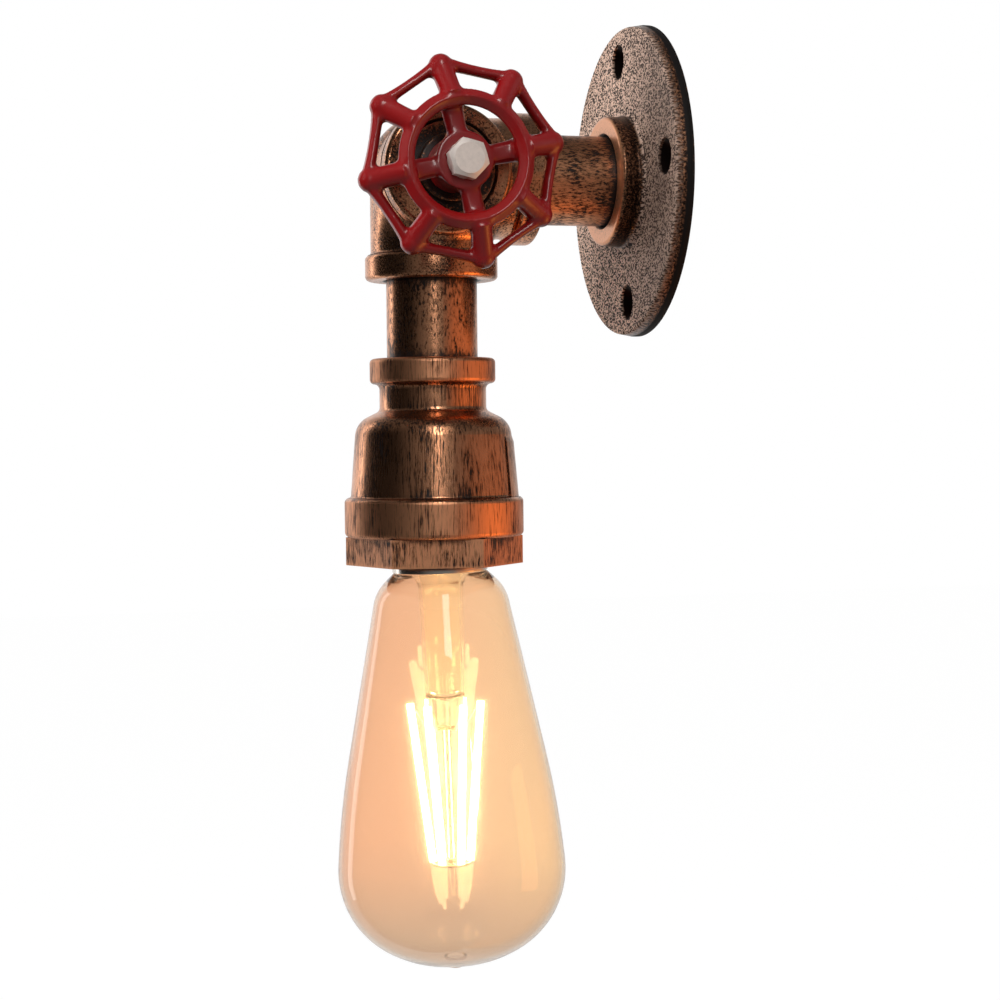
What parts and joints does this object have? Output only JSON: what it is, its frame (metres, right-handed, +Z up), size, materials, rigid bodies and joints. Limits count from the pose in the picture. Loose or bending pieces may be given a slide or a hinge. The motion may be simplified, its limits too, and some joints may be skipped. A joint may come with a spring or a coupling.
{
  "type": "wall light",
  "caption": "Wall light built from threaded pipe fittings, with a red hand wheel on the elbow and a pear-shaped filament bulb hanging below.",
  "frame": {"origin": "centre of the wall flange's back face, on the wall plane", "axes": "+Z up, the wall fills +Y, the arm reaches out along -Y, and the hand wheel faces +X"},
  "size_m": [0.0904, 0.0924, 0.2728],
  "materials": {
    "aged_bronze": "brushed antique copper over near-black, satin",
    "wheel_enamel": "glossy red enamel",
    "spindle_steel": "turned",
    "zinc_steel": "bright zinc",
    "brass": "plain",
    "gasket_fibre": "matte red fibre",
    "porcelain": "white glazed porcelain",
    "brown_insulation": "matte",
    "blue_insulation": "matte",
    "green_insulation": "matte",
    "cap_metal": "rolled thin sheet",
    "black_glass": "black glass",
    "amber_glass": "clear amber tint",
    "clear_glass": "clear",
    "filament_glow": "warm glowing coating",
    "support_wire": "drawn wire",
    "board_green": "lacquered board"
  },
  "bodies": {
    "fixture": {"wall_flange": "aged_bronze", "wall_nipple": "aged_bronze", "side_outlet_elbow": "aged_bronze", "drop_nipple": "aged_bronze", "bell_reducer": "aged_bronze", "hex_bush": "aged_bronze", "gland_bush": "aged_bronze", "thrust_washer": "brass", "holder_gasket": "gasket_fibre", "lampholder_body": "porcelain", "screw_shell": "brass", "centre_contact": "brass", "live_terminal": "brass", "neutral_terminal": "brass", "terminal_screws": "zinc_steel", "live_rivet": "brass", "neutral_rivet": "brass", "earth_ring": "brass", "live_lead": "brown_insulation", "neutral_lead": "blue_insulation", "earth_lead": "green_insulation"},
    "wheel": {"handwheel": "wheel_enamel", "spindle": "spindle_steel", "spring_washer": "zinc_steel", "wheel_bolt": "zinc_steel"},
    "bulb_travel_piece": {"cap_contact": "cap_metal"},
    "bulb": {"bulb_cap": "cap_metal", "cap_insulator": "black_glass", "bulb_glass": "amber_glass", "glass_stem": "clear_glass", "led_filaments": "filament_glow", "filament_wires": "support_wire", "driver_board": "board_green"}
  },
  "joints": [
    {"name": "wheel_turn", "type": "hinge", "parent": "fixture", "child": "wheel", "pos_m": [0.03, -0.0632, 0], "axis": [1, 0, 0], "continuous": true},
    {"name": "bulb_travel", "type": "slide", "parent": "fixture", "child": "bulb_travel_piece", "axis": [0, 0.0297, -0.9996], "range_m": [0, 0.02177]},
    {"name": "bulb_unscrew", "type": "hinge", "parent": "bulb_travel_piece", "child": "bulb", "pos_m": [0, -0.0617, -0.1127], "axis": [0, 0.0297, -0.9996], "range_deg": [0, 2160]}
  ],
  "couplings": [
    {"joint": "bulb_travel", "follows": "bulb_unscrew", "m_per_rad": 0.00057757}
  ]
}
